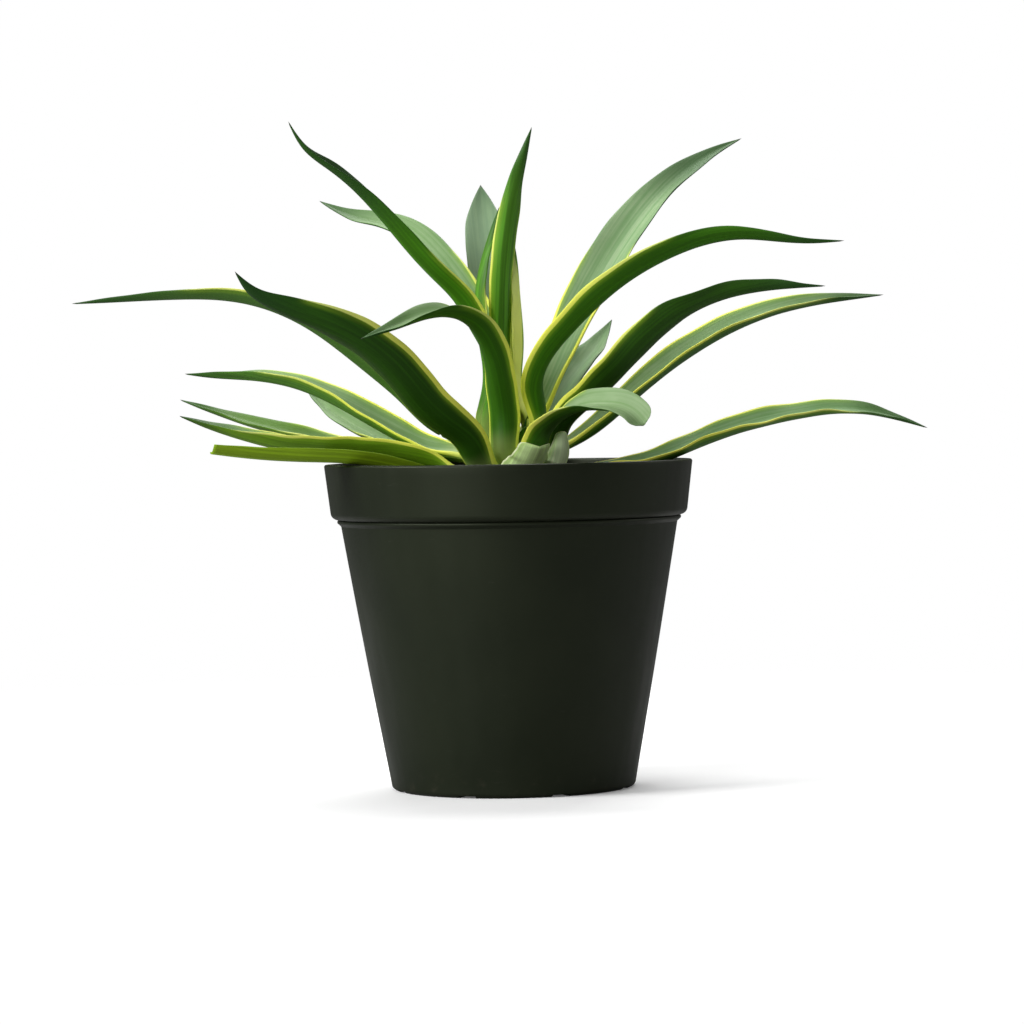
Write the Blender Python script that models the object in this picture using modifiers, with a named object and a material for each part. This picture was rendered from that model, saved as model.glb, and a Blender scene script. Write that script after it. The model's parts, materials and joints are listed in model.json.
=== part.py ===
"""A potted agave: a stepped plastic nursery pot, its potting soil, and a rosette of channelled
leaves that grow from one short domed stem. Metres, +Z up. The origin is the centre of the pot's
underside, +X runs along the widest spread of the leaves, and the front of the plant faces -Y.
"""

import math
from collections import namedtuple

import bmesh
import bpy
import numpy as np
from mathutils import Matrix, Quaternion, Vector

MM = 0.001
GAP = 0.0003  # clearance between pieces that touch

# Pot
POT_HEIGHT = 0.177
RIM_RADIUS = 0.100
LIP_HEIGHT = 0.030
LIP_TAPER = 0.003  # how far the lip's outside leans in from its top to its foot
LIP_STEP = 0.0050  # how far the body stands in from the foot of the lip
BASE_RADIUS = 0.0665
WALL = 0.0024
FLOOR = 0.0030
LIP_ROUND = 0.0040
FOOT_ROUND = 0.0030
BEAD = 0.0012  # small raised line where the body meets the lip
POT_SEGMENTS = 44
RIM_FLATS = 6  # flats in the round of the rim, of the lip's foot and of the pot's foot
LIP_FLATS = 4
FOOT_FLATS = 3

# Underside of the pot: a shallow ring-shaped channel with drain holes in it
CHANNEL_RADIUS = 0.046
CHANNEL_WIDTH = 0.018
CHANNEL_DEPTH = 0.0012
DRAIN_HOLES = 8
DRAIN_HOLE_RADIUS = 0.0055
DRAIN_HOLE_SIDES = 12
SPOUT_WIDTH = 0.010  # the grooves that lead water out of the channel under the wall

# Soil and stem
SOIL_BELOW_RIM = 0.020
SOIL_CROWN = 0.003  # how much higher the soil is in the middle
SOIL_SLOPE = 0.6  # the soil falls away outside this share of its radius
STEM_RADIUS = 0.017
STEM_RISE = 0.034  # from the soil to the top of the dome
STEM_WAIST = 0.014  # height above the soil where the dome is widest
STEM_DEPTH = 0.018  # length of stem under the soil
STEM_SEGMENTS = 28
DOME_STEPS = 8

# Leaves. Where a leaf is described along its length, 0 is its base and 1 its tip.
LEAF_GROWTH = 1.0  # how far the leaves have grown above and beyond the rim
LEAF_BASE_THICKNESS = 0.0052
LEAF_THICKNESS = 0.0030
LEAF_TIP_THICKNESS = 0.0012
LEAF_EXIT = 0.006  # length over which a leaf leaves the stem square to it
LEAF_QUARTER = 0.5  # place across half the width of the corners between middle and margin
QUARTER_RISE = 0.3  # how high those corners stand, as a share of the margins' height
MARGIN_LIFT = 0.2  # the margins' place in the thickness, above its middle
KEEL_FLAT = 0.7  # thickness under those corners, as a share of that under the middle
SWELL_ENDS = 0.30  # where the thick base has thinned to the blade
CHANNEL_FORMS = 0.15  # where the channel is at its full depth
ROLL_STARTS = 0.12  # where the roll has taken hold
WIDEST_AT = 0.42  # of most leaves
NECK_SWELL = 1.2  # how late the leaf widens from its neck
POINT_TAPER = 1.25  # how late it narrows to its point
TANGENT_STEP = 0.004  # share of the length over which the leaf's direction is taken
BLUNT_END = 0.98  # where the last cross-section of a blunt leaf is
LEAF_STATIONS = 13

# The leaf table below is laid out for this rim radius, stem radius, depth of the soil and base
# thickness. When one of the first three changes, the leaves follow the stem near the middle and
# the rim further out. Where the bases are thicker, their necks give up as much width, because
# they stand side by side round the stem.
LAID_OUT_RIM = 0.100
LAID_OUT_STEM = 0.017
LAID_OUT_SOIL = 0.020
LAID_OUT_BASE_THICKNESS = 0.0052
FOLLOWS_STEM_TO = 0.040  # distance from the axis
FOLLOWS_RIM_FROM = 0.090
GROWS_FROM = 0.015  # height above the rim from which LEAF_GROWTH acts

SOIL_TOP = POT_HEIGHT - SOIL_BELOW_RIM
BODY_TOP_RADIUS = RIM_RADIUS - LIP_TAPER - LIP_STEP
LIP_FOOT = POT_HEIGHT - LIP_HEIGHT


def wall_radius(height):
    """Outer radius of the pot's body at a height."""
    share = height / LIP_FOOT
    return BASE_RADIUS + (BODY_TOP_RADIUS - BASE_RADIUS) * share


def material(name, colour, roughness, metallic=0.0):
    made = bpy.data.materials.new(name)
    made.use_nodes = True
    shader = made.node_tree.nodes["Principled BSDF"]
    shader.inputs["Base Color"].default_value = (*colour, 1.0)
    shader.inputs["Roughness"].default_value = roughness
    shader.inputs["Metallic"].default_value = metallic
    return made


def add_object(name, mesh, collection, finish=None):
    made = bpy.data.objects.new(name, mesh)
    collection.objects.link(made)
    if finish:
        mesh.materials.append(finish)
    return made


def shade_round(mesh, angle=35):
    mesh.shade_smooth()
    mesh.set_sharp_from_angle(angle=math.radians(angle))


def arc(centre, radius, start, end, steps):
    """Points of an arc in the profile plane, angles in degrees from +X."""
    angles = [math.radians(start + (end - start) * i / steps) for i in range(steps + 1)]
    return [(centre[0] + radius * math.cos(a), centre[1] + radius * math.sin(a)) for a in angles]


def turned(name, profile, segments, collection, finish, closed=True):
    """A profile of (radius, height) points, top to bottom on the outside, turned about Z."""
    mesh = bpy.data.meshes.new(name)
    edges = [(i, i + 1) for i in range(len(profile) - 1)]
    if closed:
        edges.append((len(profile) - 1, 0))
    mesh.from_pydata([(r, 0.0, z) for r, z in profile], edges, [])
    made = add_object(name, mesh, collection, finish)
    screw = made.modifiers.new("turn", "SCREW")
    screw.steps = segments
    screw.render_steps = segments
    screw.use_merge_vertices = True
    screw.merge_threshold = 0.00001
    screw.use_smooth_shade = True
    return made


def pot_profile():
    lean = math.degrees(math.atan2(LIP_TAPER, LIP_HEIGHT))
    lip_foot_radius = RIM_RADIUS - LIP_TAPER
    half_wall = WALL / 2
    points = arc((RIM_RADIUS - half_wall, POT_HEIGHT - half_wall), half_wall, 180, -lean, RIM_FLATS)
    lip_round = (lip_foot_radius - LIP_ROUND, LIP_FOOT + LIP_ROUND)
    points += arc(lip_round, LIP_ROUND, -lean, -90, LIP_FLATS)
    points.append((wall_radius(LIP_FOOT) + BEAD, LIP_FOOT))
    points.append((wall_radius(LIP_FOOT - BEAD) + BEAD, LIP_FOOT - 2 * BEAD))
    points.append((wall_radius(LIP_FOOT - 3 * BEAD), LIP_FOOT - 3 * BEAD))
    points += arc((BASE_RADIUS - FOOT_ROUND, FOOT_ROUND), FOOT_ROUND, 0, -90, FOOT_FLATS)
    outer = CHANNEL_RADIUS + CHANNEL_WIDTH / 2
    inner = CHANNEL_RADIUS - CHANNEL_WIDTH / 2
    points += [(outer, 0.0), (outer, CHANNEL_DEPTH), (inner, CHANNEL_DEPTH), (inner, 0.0)]
    points += [(0.0, 0.0), (0.0, FLOOR)]
    points.append((wall_radius(FLOOR) - WALL, FLOOR))
    shoulder = LIP_FOOT + WALL
    points.append((wall_radius(LIP_FOOT) - WALL, LIP_FOOT))
    points.append((wall_radius(LIP_FOOT) - WALL, shoulder - WALL / 2))
    points.append((lip_foot_radius - WALL, shoulder))
    return points


def make_pot(parts, cutters):
    finish = material("pot_plastic", (0.021, 0.023, 0.017), 0.42)
    pot = turned("pot", pot_profile(), POT_SEGMENTS, parts, finish)
    for i in range(DRAIN_HOLES):
        turn = Matrix.Rotation(2 * math.pi * (i + 0.5) / DRAIN_HOLES, 4, "Z")
        bpy.ops.mesh.primitive_cylinder_add(
            vertices=DRAIN_HOLE_SIDES,
            radius=DRAIN_HOLE_RADIUS,
            depth=FLOOR * 4,
            location=turn @ Vector((CHANNEL_RADIUS, 0, 0)),
        )
        cut_with(bpy.context.object, pot, f"drain_cutter_{i + 1}", cutters)
        bpy.ops.mesh.primitive_cube_add(size=1)
        spout = bpy.context.object
        spout.scale = (BASE_RADIUS - CHANNEL_RADIUS + WALL, SPOUT_WIDTH, 2 * CHANNEL_DEPTH)
        spout.location = turn @ Vector(((BASE_RADIUS + CHANNEL_RADIUS + WALL) / 2, 0, 0))
        spout.rotation_euler.z = turn.to_euler().z
        cut_with(spout, pot, f"spout_cutter_{i + 1}", cutters)
    return pot


def cut_with(cutter, target, name, cutters):
    cutter.name = name
    for collection in cutter.users_collection:
        collection.objects.unlink(cutter)
    cutters.objects.link(cutter)
    cutter.hide_render = True
    cutter.display_type = "WIRE"
    boolean = target.modifiers.new(name, "BOOLEAN")
    boolean.object = cutter
    boolean.operation = "DIFFERENCE"


def make_soil(parts):
    """The soil fills the pot up to its level and has a pocket that the stem stands in."""
    finish = material("potting_soil", (0.045, 0.026, 0.015), 0.95)
    pocket = STEM_RADIUS + GAP
    pocket_floor = SOIL_TOP - STEM_DEPTH - GAP
    inside = WALL + GAP
    points = [(pocket, SOIL_TOP + SOIL_CROWN)]
    lip_inside = RIM_RADIUS - LIP_TAPER - inside
    shoulder = LIP_FOOT + WALL + GAP
    points += [(lip_inside * SOIL_SLOPE, SOIL_TOP + SOIL_CROWN * SOIL_SLOPE), (lip_inside, SOIL_TOP)]
    points += [(lip_inside, shoulder), (wall_radius(LIP_FOOT) - inside, shoulder - GAP)]
    points += [(wall_radius(LIP_FOOT) - inside, LIP_FOOT)]
    floor = FLOOR + GAP
    points += [(wall_radius(floor) - inside, floor), (0.0, floor)]
    points += [(0.0, pocket_floor), (pocket, pocket_floor)]
    return turned("potting_soil", points, POT_SEGMENTS, parts, finish)


def make_stem(parts):
    finish = material("stem_green", (0.30, 0.38, 0.16), 0.6)
    waist = SOIL_TOP + STEM_WAIST
    rise = STEM_RISE - STEM_WAIST
    points = []
    for i in range(DOME_STEPS + 1):
        angle = math.radians(90 - 90 * i / DOME_STEPS)
        points.append((STEM_RADIUS * math.cos(angle), waist + rise * math.sin(angle)))
    points[0] = (0.0, points[0][1])
    points += [(STEM_RADIUS, SOIL_TOP - STEM_DEPTH), (0.0, SOIL_TOP - STEM_DEPTH)]
    return turned("crown_stem", points, STEM_SEGMENTS, parts, finish)


def stem_point(azimuth, elevation):
    """A point on the stem and the outward normal there, angles in degrees. Below 0 it is straight."""
    a = math.radians(azimuth)
    e = math.radians(elevation)
    rise = STEM_RISE - STEM_WAIST
    e_dome = max(e, 0.0)
    flat = Vector((math.cos(a) * math.cos(e_dome), math.sin(a) * math.cos(e_dome), 0))
    point = flat * STEM_RADIUS + Vector((0, 0, SOIL_TOP + STEM_WAIST + rise * math.sin(e)))
    normal = (flat / STEM_RADIUS + Vector((0, 0, math.sin(e_dome) / rise))).normalized()
    return point, normal


def smooth_path(points, start_direction):
    """A cubic spline through the points that leaves the first along start_direction."""
    points = np.array(points)
    spans = np.linalg.norm(np.diff(points, axis=0), axis=1)
    knots = np.concatenate([[0.0], np.cumsum(spans)])
    count = len(points)
    matrix = np.zeros((count, count))
    right = np.zeros((count, 3))
    slopes = np.diff(points, axis=0) / spans[:, None]
    matrix[0, 0] = 1.0
    right[0] = start_direction
    matrix[-1, -2:] = (1.0, 2.0)
    right[-1] = 3 * slopes[-1]
    for i in range(1, count - 1):
        before = spans[i - 1]
        after = spans[i]
        matrix[i, i - 1 : i + 2] = (after, 2 * (before + after), before)
        right[i] = 3 * (after * slopes[i - 1] + before * slopes[i])
    tangents = np.linalg.solve(matrix, right)

    def at(distance):
        i = min(int(np.searchsorted(knots, distance, side="right")) - 1, count - 2)
        t = (distance - knots[i]) / spans[i]
        ends = points[i] * (1 + 2 * t) * (1 - t) ** 2 + points[i + 1] * t * t * (3 - 2 * t)
        pull = tangents[i] * t * (1 - t) ** 2 - tangents[i + 1] * t * t * (1 - t)
        return ends + pull * spans[i]

    return at, knots[-1]


def leaf_width(leaf, share):
    """Width at a share of the leaf's length: from the neck out to the widest, then to its end."""
    widest = leaf.width * MM
    if share < leaf.widest:
        neck = leaf.neck * MM - (LEAF_BASE_THICKNESS - LAID_OUT_BASE_THICKNESS)
        widening = math.sin(math.pi / 2 * share / leaf.widest) ** NECK_SWELL
        return neck + (widest - neck) * widening
    along = (share - leaf.widest) / (1 - leaf.widest)
    return widest * (leaf.end + (1 - leaf.end) * math.cos(math.pi / 2 * along**POINT_TAPER))


def leaf_thickness(share):
    swell = LEAF_BASE_THICKNESS - LEAF_THICKNESS
    thin = LEAF_THICKNESS - LEAF_TIP_THICKNESS
    return LEAF_THICKNESS + swell * max(0.0, 1 - share / SWELL_ENDS) ** 2 - thin * share**3


def leaf_ring(half, channel, thick):
    """One cross-section, eight points round: across the channel and back under the keel."""
    rise = half * channel
    top = thick / 2
    margin = rise + top * MARGIN_LIFT
    quarter = half * LEAF_QUARTER
    above = rise * QUARTER_RISE + top
    below = rise * QUARTER_RISE - top * KEEL_FLAT
    upper = [(-half, margin), (-quarter, above), (0, top), (quarter, above), (half, margin)]
    lower = [(quarter, below), (0, -top), (-quarter, below)]
    return upper + lower


Leaf = namedtuple(
    "Leaf", "name azimuth elevation width neck channel roll end points widest", defaults=(WIDEST_AT,)
)


def placed(point):
    """A point of the leaf table, in millimetres, brought to its place on this pot and stem."""
    laid_out = Vector(point) * MM
    flat = math.hypot(laid_out.x, laid_out.y)
    out = (flat - FOLLOWS_STEM_TO) / (FOLLOWS_RIM_FROM - FOLLOWS_STEM_TO)
    out = min(1.0, max(0.0, out))
    by_stem = (STEM_RADIUS - LAID_OUT_STEM) * min(1.0, flat / LAID_OUT_STEM)
    by_rim = (RIM_RADIUS - LAID_OUT_RIM) + max(0.0, flat - LAID_OUT_RIM) * (LEAF_GROWTH - 1)
    reach = flat + by_stem * (1 - out) + by_rim * out
    rise = laid_out.z + (LAID_OUT_SOIL - SOIL_BELOW_RIM) * (1 - out)
    rise += max(0.0, laid_out.z - GROWS_FROM) * (LEAF_GROWTH - 1)
    stretch = reach / flat
    return Vector((laid_out.x * stretch, laid_out.y * stretch, POT_HEIGHT + rise))


def leaf_stations(leaf):
    """The leaf's cross-sections: for each, its centre, side, up, and share of the length."""
    start, normal = stem_point(leaf.azimuth, leaf.elevation)
    path = [start + normal * GAP, start + normal * (GAP + LEAF_EXIT)]
    path += [placed(point) for point in leaf.points]
    at, length = smooth_path(path, normal)
    a = math.radians(leaf.azimuth)
    inward = Vector((-math.cos(a), -math.sin(a), 0))
    up = Vector((0, 0, 1)) * math.hypot(normal.x, normal.y) + inward * normal.z
    tangent = normal.copy()
    stations = []
    last = BLUNT_END if leaf.end else 1 - 1 / LEAF_STATIONS
    for i in range(LEAF_STATIONS):
        share = last * i / (LEAF_STATIONS - 1)
        ahead = Vector(at(min(length, (share + TANGENT_STEP) * length)))
        behind = Vector(at(max(0.0, (share - TANGENT_STEP) * length)))
        direction = (ahead - behind).normalized() if i else normal
        up = tangent.rotation_difference(direction) @ up
        tangent = direction
        roll = math.radians(leaf.roll[0] + (leaf.roll[1] - leaf.roll[0]) * share)
        turned_up = Quaternion(direction, roll * min(1.0, share / ROLL_STARTS)) @ up
        side = direction.cross(turned_up).normalized()
        stations.append((Vector(at(share * length)), side, turned_up, share))
    return stations, Vector(at(length))


def make_leaf(leaf, parts, finish):
    """A loft of cross-sections that ends in one point at the tip."""
    shape = bmesh.new()
    stations, tip = leaf_stations(leaf)
    rings = []
    for centre, side, up, share in stations:
        width = leaf_width(leaf, share)
        channel = leaf.channel * min(1.0, share / CHANNEL_FORMS)
        section = leaf_ring(width / 2, channel, leaf_thickness(share))
        rings.append([shape.verts.new(centre + side * x + up * y) for x, y in section])
    size = len(rings[0])
    for first, second in zip(rings, rings[1:]):
        for k in range(size):
            after = (k + 1) % size
            shape.faces.new((first[k], first[after], second[after], second[k]))
    point = shape.verts.new(tip)
    for k in range(size):
        shape.faces.new((rings[-1][k], rings[-1][(k + 1) % size], point))
    shape.faces.new(list(reversed(rings[0])))
    bmesh.ops.recalc_face_normals(shape, faces=shape.faces)
    mesh = bpy.data.meshes.new(leaf.name)
    shape.to_mesh(mesh)
    shape.free()
    shade_round(mesh, 60)
    return add_object(leaf.name, mesh, parts, finish)


# Each leaf: name; where it joins the dome (azimuth from +X, elevation, degrees); width at its
# widest and at its neck (mm); channel depth as a share of half the width; roll about its own
# length at base and tip (degrees); width kept at the end as a share (0 for a pointed leaf); then
# points along its middle from the stem to the tip, in millimetres from the centre of the rim
# (x right, y to the back, z up); and, where it isn't WIDEST_AT, its widest place.
LEAVES = [
    Leaf("spear_leaf", 300, 86, 14, 8, 0.4, (0, 0), 0,
         [(-1, -2, 35), (-2, -1, 71), (0, -3, 108), (6, -5, 144), (16, -3, 181)], 0.55),
    Leaf("left_wrap_leaf", 184, 56, 15, 7, 0.6, (0, 0), 0,
         [(-12, 0, 40), (-15, 1, 75), (-14, 3, 100), (-8, 6, 122), (-2, 9, 139)]),
    Leaf("right_wrap_leaf", 10, 60, 16, 8, 0.8, (0, 0), 0,
         [(8, 6, 35), (8, 8, 60), (7, 9, 90), (6, 9, 110), (4, 9, 124)]),
    Leaf("back_upright_leaf", 96, 54, 25, 9, 0.3, (0, 0), 0,
         [(-1, 27, 40), (-5, 54, 80), (-10, 84, 118), (-13, 115, 157)], 0.68),
    Leaf("upper_left_leaf", 229, 50, 18, 10, 0.7, (0, -55), 0,
         [(-6, -15, 44), (-15, -22, 68), (-25, -31, 86), (-40, -42, 102), (-64, -58, 130),
          (-88, -72, 154), (-104, -82, 167), (-111, -88, 180)]),
    Leaf("upper_back_left_leaf", 144, 47, 21, 9, 0.5, (0, -45), 0,
         [(-7, 14, 42), (-17, 27, 80), (-38, 46, 111), (-61, 70, 131), (-86, 90, 139),
          (-105, 106, 149)]),
    Leaf("upper_right_leaf", 45, 50, 29, 11, 0.5, (0, 20), 0,
         [(29, 26, 50), (48, 46, 88), (69, 68, 122), (91, 88, 149), (114, 104, 168),
          (137, 116, 181)]),
    Leaf("right_arching_leaf", 335, 46, 22, 11, 0.7, (0, 0), 0,
         [(17, -20, 40), (35, -34, 70), (58, -48, 91), (88, -62, 108), (123, -74, 116),
          (153, -82, 113), (177, -86, 113)]),
    Leaf("front_arching_leaf", 264, 18, 18, 15, 0.7, (0, -60), 0,
         [(-3, -27, 22), (-5, -34, 40), (-10, -46, 61), (-22, -62, 76), (-38, -77, 78),
          (-54, -92, 73), (-75, -106, 66)]),
    Leaf("left_long_leaf", 192, 36, 17, 10, 0.7, (0, -10), 0,
         [(-36, -18, 16), (-54, -22, 32), (-80, -26, 55), (-108, -30, 76), (-142, -32, 89),
          (-180, -32, 91), (-232, -30, 89)]),
    Leaf("left_dark_leaf", 238, -2, 26, 15, 0.6, (15, 10), 0,
         [(-17, -30, 3), (-39, -46, 25), (-60, -63, 49), (-79, -76, 65), (-99, -86, 75),
          (-120, -95, 84), (-134, -102, 94), (-139, -106, 102)]),
    Leaf("left_pale_leaf", 168, 22, 22, 11, 0.6, (-30, 12), 0,
         [(-36, 8, 5), (-56, 13, 12), (-81, 18, 26), (-108, 22, 40), (-135, 24, 47),
          (-160, 25, 49), (-177, 25, 51)]),
    Leaf("left_back_leaf", 138, 14, 18, 10, 0.6, (0, -40), 0,
         [(-40, 34, 2), (-65, 52, 9), (-88, 68, 21), (-106, 86, 34), (-114, 96, 42)]),
    Leaf("back_right_leaf", 62, 20, 24, 10, 0.5, (0, 0), 0,
         [(16, 28, 10), (28, 42, 32), (42, 58, 51), (53, 72, 65), (60, 82, 78)]),
    Leaf("right_dark_leaf", 330, 18, 27, 12, 0.6, (0, 0), 0,
         [(31, -28, 18), (44, -40, 31), (60, -54, 46), (76, -68, 62), (92, -80, 75),
          (112, -92, 84), (134, -100, 88), (165, -108, 89)]),
    Leaf("right_pale_leaf", 14, 22, 22, 11, 0.6, (0, 25), 0,
         [(45, 16, 14), (74, 28, 37), (108, 42, 61), (142, 54, 77), (177, 66, 85),
          (213, 76, 89)]),
    Leaf("right_low_leaf", 358, -4, 22, 11, 0.5, (0, 32), 0,
         [(45, 2, -6), (72, 5, -4), (99, 8, 5), (128, 14, 15), (161, 18, 22), (190, 21, 24),
          (212, 23, 20), (231, 24, 14)]),
    Leaf("front_bent_leaf", 301, 8, 20, 12, 0.6, (0, 60), 0.7,
         [(18, -40, 10), (27, -56, 22), (39, -70, 28), (52, -80, 29), (64, -88, 26),
          (72, -94, 17)]),
    Leaf("left_low_leaf", 182, -4, 26, 11, 0.6, (25, -15), 0,
         [(-49, -4, 0), (-75, -6, 4), (-99, -8, 7), (-118, -12, 9), (-139, -16, 14),
          (-157, -20, 20), (-176, -26, 28)]),
    Leaf("left_low_back_leaf", 152, -8, 18, 9, 0.5, (0, -20), 0,
         [(-50, 22, -2), (-80, 36, 5), (-110, 46, 13), (-145, 54, 23), (-183, 62, 37)]),
    Leaf("left_cut_leaf", 209, -14, 15, 8, 0.5, (0, 25), 0.6,
         [(-46, -30, -6), (-80, -48, 2), (-110, -60, 4), (-135, -68, 6), (-158, -75, 9)]),
    Leaf("back_low_leaf", 82, -4, 20, 10, 0.5, (0, 0), 0,
         [(7, 50, -4), (11, 80, 2), (14, 110, 6), (16, 145, 6), (18, 180, 0)]),
    Leaf("back_low_left_leaf", 115, -4, 20, 10, 0.5, (0, 0), 0,
         [(-20, 46, -2), (-32, 76, 4), (-44, 108, 7), (-56, 140, 6), (-66, 170, -2)]),
    Leaf("front_young_leaf", 276, -17, 24, 11, 0.5, (0, 0), 0.6,
         [(8, -38, -7), (13, -47, 1), (17, -54, 9)]),
    Leaf("front_young_pointed_leaf", 330, -17, 14, 8, 0.5, (0, 0), 0.35,
         [(24, -26, -8), (28, -36, 4), (29, -41, 17)]),
]


def make_agave():
    for old in list(bpy.data.objects):
        bpy.data.objects.remove(old)
    parts = bpy.data.collections.new("potted_agave")
    cutters = bpy.data.collections.new("cutters")
    cutters.hide_render = True
    for collection in (parts, cutters):
        bpy.context.scene.collection.children.link(collection)
    make_pot(parts, cutters)
    make_soil(parts)
    make_stem(parts)
    green = material("leaf_green", (0.09, 0.22, 0.03), 0.45)
    for leaf in LEAVES:
        make_leaf(leaf, parts, green)


make_agave()
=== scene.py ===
"""Looks of the potted agave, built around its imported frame: fine leaves with yellow margins and
waxy faces, a moulded plastic pot, loose potting soil, and the crown that the leaves grow from.
"""

import json
import math
import random
from collections import namedtuple

import bmesh
import bpy
import numpy as np
from mathutils import Matrix, Vector, noise


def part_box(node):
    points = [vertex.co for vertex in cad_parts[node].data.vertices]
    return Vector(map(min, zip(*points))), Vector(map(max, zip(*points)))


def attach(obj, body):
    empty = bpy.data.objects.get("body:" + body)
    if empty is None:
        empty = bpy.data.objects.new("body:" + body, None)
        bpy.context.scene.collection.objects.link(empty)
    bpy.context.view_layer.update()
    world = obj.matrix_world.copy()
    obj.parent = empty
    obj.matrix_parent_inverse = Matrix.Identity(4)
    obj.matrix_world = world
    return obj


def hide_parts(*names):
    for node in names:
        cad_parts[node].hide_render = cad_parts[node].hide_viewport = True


MM = 0.001
MERGE = 0.0000002  # corners closer than this, in metres, are one

# Camera, in metres and degrees. It stands level with the leaves and looks slightly down.
CAMERA_DISTANCE = 2.07
CAMERA_HEIGHT = 0.207
AIM = (0.0016, 0.0, 0.1495)
CAMERA_ROLL = -1.03
LENS = 133.9
SENSOR = 36.0

# Light: each lamp's name, place, aim, size in metres and power in watts
ROOM_LIGHT = 0.17
FLOOR_SEEN = 0.93
FLOOR_LIT = 0.30
FLOOR_GLOW = 0.10  # keeps its shadow faint
FLOOR_RADIUS = 0.9  # it fades into the white around it
LAMPS = (
    ("key", (-1.9, -0.8, 1.5), (0, 0, 0.2), 1.0, 52),
    ("front", (-1.3, -1.9, 0.7), (0, 0, 0.2), 1.0, 21),
    ("top", (0.1, 0.9, 1.9), (0, 0, 0.2), 1.5, 42),
    ("side", (1.9, 0.2, 0.7), (0, 0, 0.2), 0.9, 4),
)

# Pot. Its height and rim come from the frame.
LIP_HEIGHT = 0.030
LIP_TAPER = 0.003
LIP_STEP = 0.005
LIP_ROUND = 0.004
WALL = 0.0024
POT_FLOOR = 0.003
FOOT_ROUND = 0.003
BEAD = 0.0012
BASE_RADIUS = 0.0665
POT_TURNS = 176
CHANNEL_RADIUS = 0.046
CHANNEL_WIDTH = 0.018
CHANNEL_DEPTH = 0.0012
DRAIN_HOLES = 8
DRAIN_HOLE_RADIUS = 0.0055
SPOUT_WIDTH = 0.010
HOLE_SIDES = 40
POT_SHARP = 32  # degrees at which two faces of the pot meet in an edge
POT_DARK = (0.0070, 0.0100, 0.0048)
POT_LIGHT = (0.0110, 0.0145, 0.0072)
SCUFF = (0.060, 0.060, 0.050)
DUST = (0.085, 0.070, 0.050)

# Soil
SOIL_TURNS = 150
SOIL_RINGS = 34
SOIL_ROUGH = 0.0016  # height of the unevenness of its surface
SOIL_CURVE = 1.5  # how the surface falls from the crown to the wall: 1 is a cone
SOIL_MARGIN = 0.0022  # kept free of lumps along the wall
CRUMBS = 1500
CHIPS = 210
PERLITE = 85
FLAT_TILT = 0.35  # radians that flat chips tilt by
ANY_TILT = 3.0
SOIL_SEED = 11

# Crown
CROWN_SCALES = 15
CROWN_SEED = 5
CROWN_TURNS = 64
CROWN_RINGS = 26
CROWN_SHARE = 0.97  # of the radius of the CAD stem
CROWN_WAIST = 0.4  # share of its height above the soil at which the dome begins
CROWN_SINK = 0.006
FIRST_SCALE_ANGLE = 1.1
GOLDEN_ANGLE = 2.39996
SCALE_THICKNESS = 0.0014

# Leaves
STEPS_ALONG = 96
STEPS_ACROSS = 22  # on each face
EDGE_ROUNDNESS = 2.6  # exponent of the rounding of margins and blunt ends
TIP_THICKNESS = 0.4  # share of the last cross-section's thickness
RING_SIZE = 8  # corners of each cross-section in the frame
BASE_SINK = 0.0035  # how far a leaf reaches into the crown
BASE_FLARE = 0.22  # how much wider a leaf is where it clasps the crown
FLARE_LENGTH = 0.016
END_ROUNDING = 0.05  # share of its length over which a blunt leaf rounds off

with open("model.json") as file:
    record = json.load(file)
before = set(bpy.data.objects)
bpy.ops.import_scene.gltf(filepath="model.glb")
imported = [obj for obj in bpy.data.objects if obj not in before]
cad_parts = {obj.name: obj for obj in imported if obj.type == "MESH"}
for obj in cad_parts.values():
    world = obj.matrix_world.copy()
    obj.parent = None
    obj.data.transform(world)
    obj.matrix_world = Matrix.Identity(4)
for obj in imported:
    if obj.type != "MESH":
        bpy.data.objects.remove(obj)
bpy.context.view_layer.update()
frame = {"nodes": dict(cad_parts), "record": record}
nodes = frame["nodes"]


# ---------------------------------------------------------------------------------------------
# Node trees


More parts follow.
